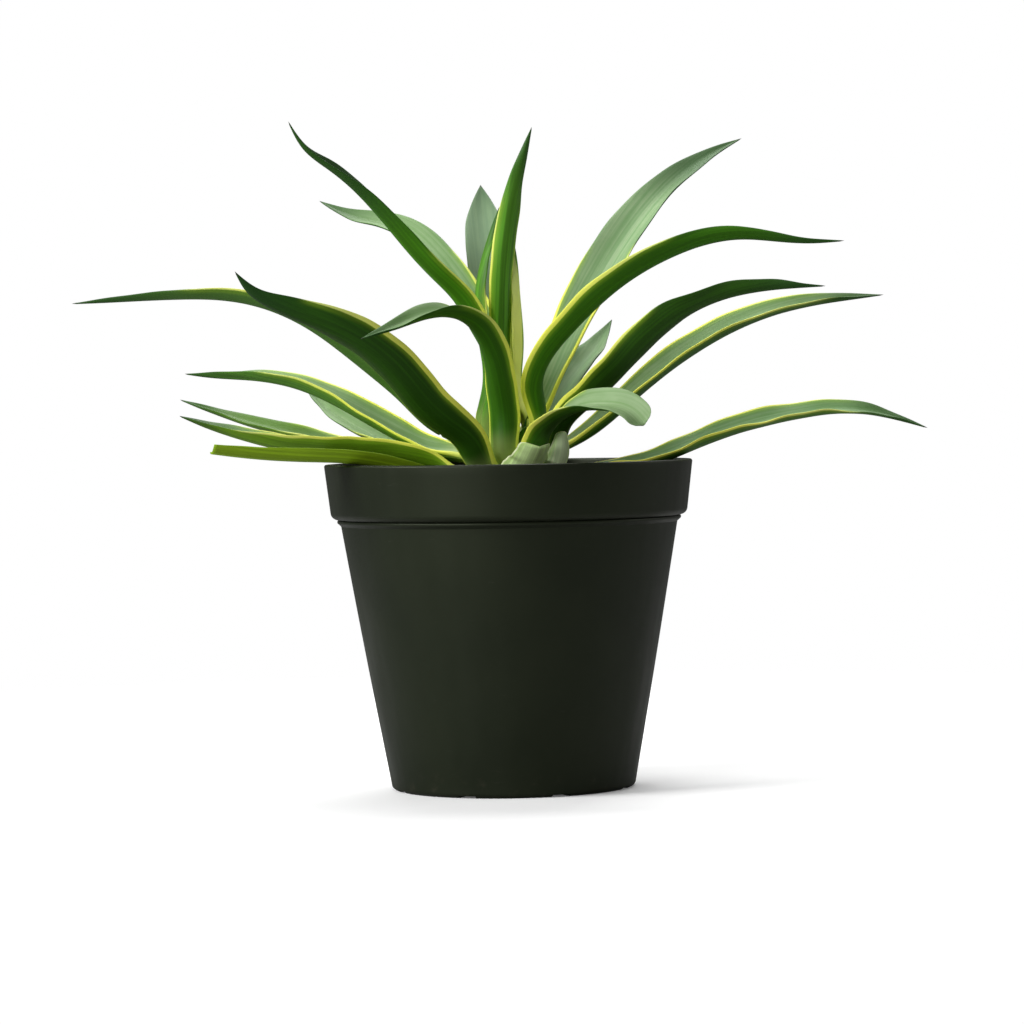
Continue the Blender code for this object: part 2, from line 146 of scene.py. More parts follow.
class Tree:
    """A short way to write shader nodes: each call adds one node and returns its output."""

    def __init__(self, name):
        self.material = bpy.data.materials.new(name)
        self.material.use_nodes = True
        self.tree = self.material.node_tree
        self.shader = self.tree.nodes["Principled BSDF"]

    def node(self, kind, **settings):
        made = self.tree.nodes.new(kind)
        for key, value in settings.items():
            setattr(made, key, value)
        return made

    def plug(self, socket, value):
        if isinstance(value, bpy.types.NodeSocket):
            self.tree.links.new(value, socket)
        elif isinstance(value, tuple) and len(value) == 3 and socket.type == "RGBA":
            socket.default_value = (*value, 1.0)
        else:
            socket.default_value = value

    def attribute(self, name):
        return self.node("ShaderNodeAttribute", attribute_name=name).outputs["Fac"]

    def place(self):
        return self.node("ShaderNodeTexCoord").outputs["Object"]

    def math(self, operation, first, second=0.0, clamp=False):
        made = self.node("ShaderNodeMath", operation=operation, use_clamp=clamp)
        self.plug(made.inputs[0], first)
        self.plug(made.inputs[1], second)
        return made.outputs[0]

    def vector(self, x, y, z=0.0):
        made = self.node("ShaderNodeCombineXYZ")
        for socket, value in zip(made.inputs, (x, y, z)):
            self.plug(socket, value)
        return made.outputs[0]

    def scaled(self, vector, scale):
        made = self.node("ShaderNodeVectorMath", operation="MULTIPLY")
        self.plug(made.inputs[0], vector)
        made.inputs[1].default_value = scale
        return made.outputs[0]

    def parts_of(self, vector):
        made = self.node("ShaderNodeSeparateXYZ")
        self.plug(made.inputs[0], vector)
        return made.outputs

    def noise(self, vector, scale, detail=3.0, roughness=0.5):
        made = self.node("ShaderNodeTexNoise")
        self.plug(made.inputs["Vector"], vector)
        made.inputs["Scale"].default_value = scale
        made.inputs["Detail"].default_value = detail
        made.inputs["Roughness"].default_value = roughness
        return made.outputs["Fac"]

    def cells(self, vector, scale):
        made = self.node("ShaderNodeTexVoronoi")
        self.plug(made.inputs["Vector"], vector)
        made.inputs["Scale"].default_value = scale
        return made.outputs["Distance"]

    def ramp(self, value, low, high, start=0.0, end=1.0):
        """value carried smoothly from low..high to start..end, and held beyond them."""
        made = self.node("ShaderNodeMapRange", interpolation_type="SMOOTHSTEP")
        for socket, item in zip(made.inputs, (value, low, high, start, end)):
            self.plug(socket, item)
        return made.outputs[0]

    def mix(self, share, first, second):
        made = self.node("ShaderNodeMix", data_type="RGBA")
        self.plug(made.inputs[0], share)
        self.plug(made.inputs[6], first)
        self.plug(made.inputs[7], second)
        return made.outputs[2]

    def mix_value(self, share, first, second):
        made = self.node("ShaderNodeMix", data_type="FLOAT")
        self.plug(made.inputs[0], share)
        self.plug(made.inputs[2], first)
        self.plug(made.inputs[3], second)
        return made.outputs[0]

    def bump(self, height, distance, strength=1.0, under=None):
        made = self.node("ShaderNodeBump")
        made.inputs["Strength"].default_value = strength
        made.inputs["Distance"].default_value = distance
        self.plug(made.inputs["Height"], height)
        if under:
            self.plug(made.inputs["Normal"], under)
        return made.outputs[0]

    def finish(self, colour, roughness, normal=None, **constants):
        self.plug(self.shader.inputs["Base Color"], colour)
        self.plug(self.shader.inputs["Roughness"], roughness)
        if normal:
            self.plug(self.shader.inputs["Normal"], normal)
        for name, value in constants.items():
            self.shader.inputs[name.replace("_", " ")].default_value = value
        return self.material


# ---------------------------------------------------------------------------------------------
# Meshes


def add_piece(name, mesh, material, slot, replaced=()):
    made = bpy.data.objects.new(name, mesh)
    bpy.context.scene.collection.objects.link(made)
    mesh.materials.append(material)
    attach(made, "root")
    if replaced:
        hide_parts(*replaced)
    return made


def mesh_from(name, points, faces, attributes=None, sharp=180):
    mesh = bpy.data.meshes.new(name)
    mesh.from_pydata([tuple(p) for p in points], [], faces)
    mesh.update()
    for key, values in (attributes or {}).items():
        layer = mesh.attributes.new(key, "FLOAT", "POINT")
        layer.data.foreach_set("value", np.asarray(values, np.float32))
    mesh.shade_smooth()
    if sharp < 180:
        mesh.set_sharp_from_angle(angle=math.radians(sharp))
    return mesh


def natural_spline(knots, values):
    """A function of a list of places that follows a natural cubic spline through the values."""
    knots = np.asarray(knots, float)
    values = np.asarray(values, float).reshape(len(knots), -1)
    spans = np.diff(knots)[:, None]
    slopes = np.diff(values, axis=0) / spans
    count = len(knots)
    matrix = np.eye(count)
    right = np.zeros_like(values)
    for i in range(1, count - 1):
        matrix[i, i - 1] = spans[i - 1, 0]
        matrix[i, i] = 2 * (spans[i - 1, 0] + spans[i, 0])
        matrix[i, i + 1] = spans[i, 0]
        right[i] = 6 * (slopes[i] - slopes[i - 1])
    bend = np.linalg.solve(matrix, right)

    def at(places):
        places = np.clip(np.atleast_1d(places), knots[0], knots[-1])
        i = np.clip(np.searchsorted(knots, places, side="right") - 1, 0, count - 2)
        step = spans[i]
        after = (places - knots[i])[:, None] / step
        before = 1 - after
        curve = (before**3 - before) * bend[i] + (after**3 - after) * bend[i + 1]
        return before * values[i] + after * values[i + 1] + curve * step**2 / 6

    return at


def smooth(value):
    """0 below 0, 1 above 1, and a soft step between them."""
    value = np.clip(value, 0.0, 1.0)
    return value * value * (3 - 2 * value)


# ---------------------------------------------------------------------------------------------
# Leaves: the frame gives thirteen eight-cornered cross-sections and a tip for each


def welded(node):
    """The corners of a CAD node, each once, and the set of neighbours of each."""
    mesh = nodes[node].data
    places = {}
    index = []
    for vertex in mesh.vertices:
        key = tuple(round(c, 6) for c in vertex.co)
        index.append(places.setdefault(key, len(places)))
    near = [set() for _ in places]
    for edge in mesh.edges:
        a, b = (index[i] for i in edge.vertices)
        if a != b:
            near[a].add(b)
            near[b].add(a)
    return np.array(list(places)), near


def rings_from(tip, near):
    """Corners by their number of steps from the tip, the ring next to the tip first."""
    rings = [[tip]]
    seen = {tip}
    while rings[-1]:
        ring = sorted({n for v in rings[-1] for n in near[v]} - seen)
        seen.update(ring)
        rings.append(ring)
    return rings[1:-1]


def find_tip(near):
    """The one corner from which every ring holds as many corners as a cross-section."""
    for start, around in enumerate(near):
        if len(around) == RING_SIZE:
            rings = rings_from(start, near)
            if rings and all(len(ring) == RING_SIZE for ring in rings):
                return start, rings
    raise ValueError("no tip")


def section_of(ring, points, near, before):
    """Both margins, and the upper and the lower corners between them, of one cross-section."""
    inside = set(ring)
    pairs = [(a, b) for a in ring for b in ring if a < b]
    a, b = max(pairs, key=lambda pair: np.linalg.norm(points[pair[0]] - points[pair[1]]))
    if before is not None:
        swapped = np.linalg.norm(points[a] - before[0]) > np.linalg.norm(points[a] - before[1])
        a, b = (b, a) if swapped else (a, b)
    sides = walks(a, b, inside, near)
    middle = (points[a] + points[b]) / 2
    sides.sort(key=lambda walk: np.linalg.norm(points[walk[1]] - middle))
    return a, b, sides[0], sides[1]


def walks(a, b, inside, near):
    """The two ways round a cross-section from margin to margin, three corners each."""
    found = []
    for first in near[a] & inside - {b}:
        for second in near[first] & inside - {a, b}:
            for third in near[second] & near[b] & inside - {a, first}:
                found.append([first, second, third])
    unique = {tuple(walk): walk for walk in found}
    for walk in list(unique.values()):
        for other in unique.values():
            if not set(walk) & set(other):
                return [walk, other]
    raise ValueError("no two ways round")


def section_like(other, ring, points):
    """The same corners as in the next cross-section, for the base, whose cap hides its edges."""
    a, b, upper, lower = other
    shift = points[ring].mean(axis=0) - points[[a, b, *upper, *lower]].mean(axis=0)

    def match(corner):
        return min(ring, key=lambda v: np.linalg.norm(points[v] - points[corner] - shift))

    return match(a), match(b), [match(v) for v in upper], [match(v) for v in lower]


def leaf_frame(node):
    """Of each cross-section, base first: five points of the middle surface, and the way up."""
    points, near = welded(node)
    tip, rings = find_tip(near)
    rows = []
    ups = []
    before = None
    for number, ring in enumerate(rings, 1):
        if number < len(rings):
            section = section_of(ring, points, near, before)
        else:
            section = section_like(section, ring, points)
        a, b, upper, lower = section
        before = (points[a], points[b])
        middle = [(points[u] + points[k]) / 2 for u, k in zip(upper, lower)]
        rows.append([points[a], *middle, points[b]])
        ups.append(points[upper[1]] - points[lower[1]])
    return np.array(rows[::-1]), np.array(ups[::-1]), points[tip]


LeafShape = namedtuple("LeafShape", "wave waves ruffle blunt cut")
PLAIN = LeafShape(wave=0.5, waves=3.0, ruffle=0.0, blunt=False, cut=False)
SHAPES = {
    "front_bent_leaf": PLAIN._replace(blunt=True, wave=0.3),
    "front_young_leaf": PLAIN._replace(blunt=True, wave=0.9, ruffle=0.9),
    "front_young_pointed_leaf": PLAIN._replace(blunt=True, wave=0.2),
    "left_cut_leaf": PLAIN._replace(cut=True, wave=0.2),
    "right_dark_leaf": PLAIN._replace(wave=1.4, waves=3.6),
    "right_low_leaf": PLAIN._replace(wave=0.8, waves=4.0),
    "upper_right_leaf": PLAIN._replace(wave=0.7, waves=2.2),
    "back_upright_leaf": PLAIN._replace(wave=0.4, waves=2.0),
}


def leaf_mesh(node):
    """A fine closed leaf on the frame's cross-sections, with what its material reads."""
    rows, ups, tip = leaf_frame(node)
    thickness = np.linalg.norm(ups, axis=1)
    shape = SHAPES.get(node, PLAIN)
    chance = random.Random(node)
    centres = rows[:, 2]
    steps = np.linalg.norm(np.diff(centres, axis=0), axis=1)
    knots = np.concatenate([[0.0], np.cumsum(steps)])
    reach = np.linalg.norm(tip - centres[-1])
    length = knots[-1] + reach
    if not (shape.blunt or shape.cut):
        rows = np.concatenate([rows, np.tile(tip, (1, 5, 1))])
        knots = np.append(knots, length)
        thickness = np.append(thickness, thickness[-1] * TIP_THICKNESS)
    along = np.linspace(0.0, knots[-1], STEPS_ALONG + 1)
    across = np.sin(np.linspace(-math.pi / 2, math.pi / 2, STEPS_ACROSS + 1))
    spine = natural_spline(knots, rows.reshape(len(knots), -1))(along).reshape(-1, 5, 3)
    thick = natural_spline(knots, thickness)(along)[:, 0]
    basis = natural_spline([-1, -0.5, 0, 0.5, 1], np.eye(5))(across)
    surface = np.einsum("ij,njk->nik", basis, spine)
    share = along / length
    surface = shaped_edges(surface, along, share, shape, chance)
    surface = sunk_base(surface, along)
    normal = surface_normals(surface, ups)
    surface += normal * waviness(share, across, shape, chance)[..., None]
    round_off = np.sqrt(np.clip(1 - np.abs(across) ** EDGE_ROUNDNESS, 0, 1))
    half = thick[:, None] / 2 * round_off[None, :]
    half *= end_taper(share, shape)[:, None]
    upper = surface + normal * half[..., None]
    lower = surface - normal * half[..., None]
    return joined(node + "_blade", [closed_blade(upper, lower, along, surface)])


def shaped_edges(surface, along, share, shape, chance):
    """The base flared where it clasps the crown, the margins a little uneven, the end rounded."""
    middle = surface[:, [surface.shape[1] // 2]]
    flare = 1 + BASE_FLARE * (1 - smooth(along / FLARE_LENGTH))
    phases = [chance.uniform(0, 2 * math.pi) for _ in range(4)]
    uneven = 1 + 0.010 * np.sin(share * 31 + phases[0]) + 0.008 * np.sin(share * 53 + phases[1])
    width = flare * uneven
    if shape.blunt:
        width = width * (1 - np.clip(into_end(share), 0, 0.995) ** EDGE_ROUNDNESS) ** 0.5
    if shape.ruffle:
        ragged = np.sin(share * 15 + phases[2]) * smooth((share - 0.5) * 3)
        width = width * (1 + 0.08 * shape.ruffle * ragged)
    return middle + (surface - middle) * width[:, None, None]


def into_end(share):
    """How far into its rounded end each place of a blunt leaf is: 1 at the very end."""
    return (share - (share[-1] - END_ROUNDING)) / END_ROUNDING


def sunk_base(surface, along):
    """The first cross-sections drawn back into the crown, so that no seam shows."""
    direction = surface[0, surface.shape[1] // 2] - surface[3, surface.shape[1] // 2]
    direction /= np.linalg.norm(direction)
    pull = BASE_SINK * (1 - smooth(along / FLARE_LENGTH))
    return surface + direction * pull[:, None, None]


def surface_normals(surface, ups):
    """Unit normals of the middle surface, on its upper side."""
    down_length = np.gradient(surface, axis=0)
    over_width = np.gradient(surface, axis=1)
    normal = np.cross(down_length, over_width)
    size = np.linalg.norm(normal, axis=2, keepdims=True)
    normal = normal / np.maximum(size, 1e-12)
    near_base = normal[2, surface.shape[1] // 2]
    return -normal if near_base @ ups[1] < 0 else normal


def waviness(share, across, shape, chance):
    """Gentle waves that grow towards the margins, in metres along the normal."""
    phases = [chance.uniform(0, 2 * math.pi) for _ in range(3)]
    reach = smooth(share * 4) * (1 - smooth((share - 0.86) / 0.14))
    left = np.sin(2 * math.pi * shape.waves * share + phases[0])
    left += 0.5 * np.sin(2 * math.pi * shape.waves * 2.3 * share + phases[1])
    right = np.sin(2 * math.pi * shape.waves * 0.9 * share + phases[2])
    right += 0.5 * np.sin(2 * math.pi * shape.waves * 2.0 * share + phases[0])
    side = across[None, :]
    wave = np.where(side < 0, left[:, None], right[:, None]) * np.abs(side) ** 2
    return wave * reach[:, None] * shape.wave * MM


def end_taper(share, shape):
    """Share of the thickness kept near the end of a blunt leaf, and all of it elsewhere."""
    if shape.blunt:
        return (1 - np.clip(into_end(share), 0, 0.96) ** 2) ** 0.5
    return np.ones_like(share)


Solid = namedtuple("Solid", "points faces attributes")


def closed_blade(upper, lower, along, surface):
    """Both faces joined at the margins, capped at both ends, with attributes on each point."""
    rings, width = surface.shape[:2]
    side = np.linalg.norm(np.diff(surface, axis=1), axis=2)
    walk = np.concatenate([np.zeros((rings, 1)), np.cumsum(side, axis=1)], axis=1)
    from_edge = np.minimum(walk, walk[:, -1:] - walk)
    off_middle = walk - walk[:, [width // 2]]
    ring_points = np.concatenate([upper, lower[:, -2:0:-1]], axis=1)
    size = ring_points.shape[1]
    face = np.ones((rings, size))
    face[:, width:] = 0.0
    face[:, [0, width - 1]] = 0.5

    def both(values):
        return np.concatenate([values, values[:, -2:0:-1]], axis=1).ravel() / MM

    faces = []
    for i in range(rings - 1):
        for k in range(size):
            after = (k + 1) % size
            here, there = i * size, (i + 1) * size
            faces.append((here + k, there + k, there + after, here + after))
    last = (rings - 1) * size
    faces.append(tuple(range(size)))
    faces.append(tuple(last + k for k in reversed(range(size))))
    attributes = {
        "along_mm": np.repeat(along, size) / MM,
        "share": np.repeat(along / along[-1], size),
        "from_edge_mm": both(from_edge),
        "off_middle_mm": both(off_middle),
        "right_side": (both(off_middle) > 0).astype(float),
        "upper_face": face.ravel(),
    }
    return Solid(ring_points.reshape(-1, 3), faces, attributes)


def joined(name, solids):
    """One mesh of several closed solids, doubles merged and every face turned outwards."""
    points = np.concatenate([solid.points for solid in solids])
    faces = []
    start = 0
    for solid in solids:
        faces += [tuple(start + corner for corner in face) for face in solid.faces]
        start += len(solid.points)
    keys = solids[0].attributes
    attributes = {key: np.concatenate([solid.attributes[key] for solid in solids]) for key in keys}
    mesh = mesh_from(name, points, faces, attributes)
    work = bmesh.new()
    work.from_mesh(mesh)
    bmesh.ops.remove_doubles(work, verts=work.verts, dist=MERGE)
    bmesh.ops.dissolve_degenerate(work, edges=work.edges, dist=MERGE / 4)
    bmesh.ops.recalc_face_normals(work, faces=work.faces)
    work.to_mesh(mesh)
    work.free()
    return mesh


# ---------------------------------------------------------------------------------------------
# Leaf material


# Colours of both faces; strength of the wax and of the streaks; width in mm of the left and the
# right margin, and the share of the length at which they fade; where the painted shade of the tip
# starts; how far the pale base runs.
LeafLook = namedtuple("LeafLook", "upper lower bloom streaks left right reach margin tip base_pale")
UPPER = (0.080, 0.215, 0.022)
LOWER = (0.026, 0.100, 0.003)
BLOOM = (0.305, 0.420, 0.230)  # the waxy grey-green of the upper faces
YELLOW = (0.94, 0.95, 0.13)
PALE_MARGIN = (0.58, 0.70, 0.23)  # what the yellow turns to further out
# painted light: the lime of light shining through the leaf beside its margins
PAINTED_THROUGH_LIGHT = (0.28, 0.47, 0.022)
PALE_BASE = (0.50, 0.60, 0.20)
# painted shade: the deep green towards which the outer end of a leaf is darkened
TIP_SHADE_GREEN = (0.018, 0.070, 0.012)
TIP_POINT = (0.020, 0.020, 0.010)
# a tip share beyond the end: no painted shade at the tip
NO_TIP_SHADE = 2.0
PLAIN_LOOK = LeafLook(
    upper=UPPER, lower=LOWER, bloom=0.75, streaks=0.5, left=1.5, right=1.5, reach=0.75,
    margin=YELLOW, tip=0.90, base_pale=0.10,
)
LIGHT_LOWER = (0.085, 0.230, 0.012)
CENTRE_LOWER = (0.060, 0.180, 0.012)
LOOKS = {
    "spear_leaf": PLAIN_LOOK._replace(
        upper=(0.10, 0.28, 0.03), lower=CENTRE_LOWER, bloom=0.5, streaks=1.0,
        left=1.2, right=1.2, reach=0.85,
    ),
    "left_wrap_leaf": PLAIN_LOOK._replace(
        lower=CENTRE_LOWER, bloom=0.4, streaks=1.0, left=1.0, right=1.0,
    ),
    # its margin colour, lighter than the others' yellow, is partly its own and partly painted light
    # against the spear's shadow
    "right_wrap_leaf": PLAIN_LOOK._replace(
        lower=LIGHT_LOWER, bloom=0.6, streaks=0.8, left=7.5, right=7.5, reach=0.98,
        margin=(0.98, 1.0, 0.28),
    ),
    "back_upright_leaf": PLAIN_LOOK._replace(
        upper=(0.125, 0.220, 0.120), bloom=0.50, left=0.6, right=0.4, streaks=0.5, tip=0.97,
    ),
    # painted shade: its upper face darker and less waxy than the others', and its dark tip starting early
    "upper_left_leaf": PLAIN_LOOK._replace(
        upper=(0.050, 0.150, 0.012), lower=(0.045, 0.165, 0.004), bloom=0.15, reach=0.62, tip=0.70,
    ),
    "upper_back_left_leaf": PLAIN_LOOK._replace(
        upper=(0.085, 0.22, 0.035), bloom=0.75, left=2.4, right=2.4, reach=0.62, tip=0.88,
    ),
    "upper_right_leaf": PLAIN_LOOK._replace(
        upper=(0.110, 0.250, 0.080), bloom=1.0, streaks=0.7, left=2.4, right=1.4, reach=0.60, tip=0.78,
    ),
    "right_arching_leaf": PLAIN_LOOK._replace(
        lower=(0.030, 0.115, 0.002), left=2.3, right=2.3, reach=0.70,
    ),
    "front_arching_leaf": PLAIN_LOOK._replace(
        lower=(0.026, 0.105, 0.002), left=2.3, right=2.3, reach=0.70,
    ),
    "left_dark_leaf": PLAIN_LOOK._replace(
        lower=(0.017, 0.068, 0.002), left=2.8, right=1.8, reach=0.85, tip=0.86,
    ),
    "left_long_leaf": PLAIN_LOOK._replace(
        upper=(0.050, 0.150, 0.010), lower=(0.030, 0.110, 0.003), bloom=0.10, streaks=0.6,
        left=1.2, right=1.2, reach=0.85, tip=0.86,
    ),
    "left_pale_leaf": PLAIN_LOOK._replace(
        lower=(0.075, 0.20, 0.02), bloom=0.8, left=1.3, right=1.3, reach=0.85,
    ),
    "left_back_leaf": PLAIN_LOOK._replace(bloom=0.8, left=0.7, right=0.7, tip=0.97),
    "back_right_leaf": PLAIN_LOOK._replace(
        upper=(0.11, 0.25, 0.085), bloom=0.8, streaks=0.4, left=1.6, right=0.6, reach=0.5, tip=0.97,
    ),
    "right_dark_leaf": PLAIN_LOOK._replace(
        lower=(0.018, 0.068, 0.002), left=1.9, right=1.9, reach=0.66,
    ),
    "right_pale_leaf": PLAIN_LOOK._replace(
        lower=(0.035, 0.12, 0.008), bloom=0.8, left=1.2, right=1.2, reach=0.95,
    ),
    "right_low_leaf": PLAIN_LOOK._replace(
        upper=(0.075, 0.225, 0.035), lower=(0.045, 0.14, 0.008), bloom=0.6,
        left=1.2, right=1.2, reach=0.9,
    ),
    "left_cut_leaf": PLAIN_LOOK._replace(
        upper=(0.26, 0.42, 0.012), lower=(0.21, 0.35, 0.010), bloom=0.0, left=0.0, right=0.0,
        tip=NO_TIP_SHADE, base_pale=0.0,
    ),
    "left_low_leaf": PLAIN_LOOK._replace(lower=(0.120, 0.25, 0.008), bloom=0.7, reach=0.9),
    "left_low_back_leaf": PLAIN_LOOK._replace(
        upper=(0.080, 0.185, 0.010), lower=(0.080, 0.190, 0.008), bloom=0.12, left=1.2, right=1.2,
    ),
    # the young leaves' pale colours are partly their own and partly painted light against the shade of
    # the leaves above them
    "front_young_leaf": PLAIN_LOOK._replace(
        upper=(0.58, 0.78, 0.34), lower=(0.56, 0.76, 0.32), bloom=0.1, left=0.8, right=0.8,
        reach=1.6, margin=(0.80, 0.88, 0.52), tip=NO_TIP_SHADE, base_pale=0.2,
    ),
    "front_young_pointed_leaf": PLAIN_LOOK._replace(
        upper=(0.74, 0.92, 0.54), lower=(0.72, 0.90, 0.52), bloom=0.0, left=0.8, right=0.8,
        reach=1.6, margin=(0.85, 0.92, 0.62), tip=NO_TIP_SHADE, base_pale=0.2,
    ),
    "front_bent_leaf": PLAIN_LOOK._replace(
        bloom=0.95, streaks=0.45, left=2.4, right=2.4, reach=0.70, tip=NO_TIP_SHADE,
    ),
    "crown_stem": PLAIN_LOOK._replace(bloom=0.5, left=0.5, right=0.5, tip=NO_TIP_SHADE, base_pale=0.0),
}


def times(colour, factor):
    return tuple(part * factor for part in colour)


def leaf_colours(t, look, bands, veins, clouds):
    """Both faces in one colour, and how waxy the upper one is."""
    waxy = t.math("MULTIPLY", t.ramp(bands, 0.36, 0.64, 1.0 - 0.75 * look.streaks, 1.0), look.bloom)
    waxy = t.math("MULTIPLY", waxy, t.ramp(veins, 0.30, 0.70, 1.0 - 0.40 * look.streaks, 1.0))
    waxy = t.math("MULTIPLY", waxy, t.ramp(clouds, 0.30, 0.65, 0.80, 1.0))
    upper = t.mix(waxy, look.upper, BLOOM)
    streak = t.ramp(bands, 0.42, 0.68, 0.0, 0.75 * look.streaks)
    lower = t.mix(streak, look.lower, times(look.lower, 2.3))
    vein = t.ramp(veins, 0.48, 0.74, 0.0, 0.40 * look.streaks)
    lower = t.mix(vein, lower, times(look.lower, 2.0))
    return t.mix(t.attribute("upper_face"), lower, upper), waxy


def with_margins(t, colour, look, share, bands, clouds):
    """Yellow margins fading with the leaf's length, and a lime band of painted light beside them."""
    width = t.mix_value(t.attribute("right_side"), look.left, look.right)
    width = t.math("MULTIPLY", width, t.ramp(share, look.reach - 0.30, look.reach, 1.0, 0.0))
    wander = t.math("MULTIPLY", t.math("SUBTRACT", clouds, 0.5), 0.5)
    inside = t.math("SUBTRACT", t.math("ADD", t.attribute("from_edge_mm"), wander), width)
    there = t.ramp(width, 0.10, 0.50)
    # painted light: light shining through the leaf, laid on as a lime band inside each margin
    painted_glow = t.math("MULTIPLY", t.ramp(inside, -0.2, 3.2, 0.58, 0.0), there)
    painted_glow = t.math("MULTIPLY", painted_glow, t.ramp(bands, 0.30, 0.60, 0.55, 1.0))
    yellow = t.math("MULTIPLY", t.ramp(inside, -0.35, 0.30, 1.0, 0.0), there)
    fade = t.ramp(share, look.reach * 0.45, look.reach, 0.0, 0.85)
    return t.mix(yellow, t.mix(painted_glow, colour, PAINTED_THROUGH_LIGHT), t.mix(fade, look.margin, PALE_MARGIN))


def leaf_material(node):
    look = LOOKS.get(node, PLAIN_LOOK)
    t = Tree(node + "_skin")
    along = t.attribute("along_mm")
    share = t.attribute("share")
    off = t.attribute("off_middle_mm")
    seed = random.Random(node + "_look").uniform(0, 60)
    veins = t.noise(t.vector(off, t.math("MULTIPLY", along, 0.012), seed), 1.9, 4.0, 0.6)
    bands = t.noise(t.vector(off, t.math("MULTIPLY", along, 0.016), seed), 0.62, 2.0)
    clouds = t.noise(t.vector(off, t.math("MULTIPLY", along, 0.5), seed), 0.16, 3.0)

    colour, waxy = leaf_colours(t, look, bands, veins, clouds)
    colour = with_margins(t, colour, look, share, bands, clouds)
    base = t.ramp(along, 2.0, 20.0 + 50.0 * look.base_pale, 0.80, 0.0)
    colour = t.mix(base, colour, PALE_BASE)
    # painted shade darkens the outer end of a leaf; the very point then takes the dark of its spine
    if look.tip < NO_TIP_SHADE:
        tip_shade = t.ramp(share, look.tip - 0.14, look.tip + 0.08, 0.0, 0.78)
        colour = t.mix(tip_shade, colour, TIP_SHADE_GREEN)
        colour = t.mix(t.ramp(share, 0.984, 0.995, 0.0, 0.8), colour, TIP_POINT)

    rough = t.ramp(waxy, 0.0, 0.8, 0.48, 0.60)
    normal = t.bump(veins, 0.00014, 0.5)
    normal = t.bump(clouds, 0.0005, 0.3, under=normal)
    return t.finish(colour, rough, normal, Specular_IOR_Level=0.20)


def make_leaves():
    subparts = frame["record"]["subparts"]
    slots = {part["node"]: part.get("material_slot", "leaf_green") for part in subparts}
    for node in nodes:
        if node.endswith("_leaf"):
            add_piece(node + "_blade", leaf_mesh(node), leaf_material(node), slots[node], (node,))


# ---------------------------------------------------------------------------------------------
# Pot


def arc(centre, radius, start, end, steps):
    """Points of an arc in the profile plane, angles in degrees from +X."""
    angles = np.radians(np.linspace(start, end, steps + 1))
    return [(centre[0] + radius * math.cos(a), centre[1] + radius * math.sin(a)) for a in angles]


def straight(first, last, steps, bulge=0.0):
    """Points between two others along a line that swells by bulge in the middle."""
    made = []
    for i in range(1, steps):
        share = i / steps
        swell = bulge * math.sin(math.pi * share)
        across = first[0] + (last[0] - first[0]) * share + swell
        made.append((across, first[1] + (last[1] - first[1]) * share))
    return made


def pot_profile(rim, height):
    """Outline of the wall from the inside of the rim, over it, down the outside and back in."""
    lean = math.degrees(math.atan2(LIP_TAPER, LIP_HEIGHT))
    lip_foot = height - LIP_HEIGHT
    lip_radius = rim - LIP_TAPER
    body_top = lip_radius - LIP_STEP
    slope = (body_top - BASE_RADIUS) / lip_foot
    half = WALL / 2
    points = arc((rim - half, height - half), half, 180, -lean, 12)
    under_lip = arc((lip_radius - LIP_ROUND, lip_foot + LIP_ROUND), LIP_ROUND, -lean, -90, 12)
    points += straight(points[-1], under_lip[0], 6)
    points += under_lip
    corner = (body_top + BEAD, lip_foot)
    points += straight(under_lip[-1], corner, 3)
    points += arc((body_top + BEAD * 0.2, lip_foot - BEAD), BEAD, 90, -65, 8)
    neck = (body_top - slope * 3 * BEAD, lip_foot - 3 * BEAD)
    points.append(neck)
    foot = arc((BASE_RADIUS - FOOT_ROUND, FOOT_ROUND), FOOT_ROUND, 0, -90, 8)
    points += straight(neck, foot[0], 26, bulge=0.0003)
    points += foot
    outer = CHANNEL_RADIUS + CHANNEL_WIDTH / 2
    inner = CHANNEL_RADIUS - CHANNEL_WIDTH / 2
    points += [(outer, 0.0), (outer, CHANNEL_DEPTH), (inner, CHANNEL_DEPTH), (inner, 0.0)]
    points += [(0.0, 0.0), (0.0, POT_FLOOR)]
    inside = BASE_RADIUS + slope * POT_FLOOR - WALL
    shoulder = lip_foot + WALL
    points += straight((0.0, POT_FLOOR), (inside, POT_FLOOR), 4)
    points += arc((inside - FOOT_ROUND, POT_FLOOR + FOOT_ROUND), FOOT_ROUND, -90, 0, 5)
    points.append((body_top - WALL, lip_foot))
    points += arc((body_top + 0.2 * WALL, lip_foot), WALL * 1.2, 180, 90, 5)
    points += [(lip_radius - WALL - 0.0012, shoulder), (lip_radius - WALL, shoulder + 0.0012)]
    return points


def turned(name, profile, turns):
    """A closed profile of (radius, height) points turned about Z, as a bmesh."""
    shape = bmesh.new()
    rings = []
    for radius, height in profile:
        if radius < MERGE:
            rings.append([shape.verts.new((0.0, 0.0, height))] * turns)
            continue
        ring = []
        for i in range(turns):
            a = 2 * math.pi * i / turns
            ring.append(shape.verts.new((radius * math.cos(a), radius * math.sin(a), height)))
        rings.append(ring)
    for ring, after in zip(rings, rings[1:] + rings[:1]):
        for i in range(turns):
            j = (i + 1) % turns
            corners = list(dict.fromkeys((ring[i], after[i], after[j], ring[j])))
            if len(corners) > 2:
                shape.faces.new(corners)
    bmesh.ops.recalc_face_normals(shape, faces=shape.faces)
    mesh = bpy.data.meshes.new(name)
    shape.to_mesh(mesh)
    shape.free()
    return mesh


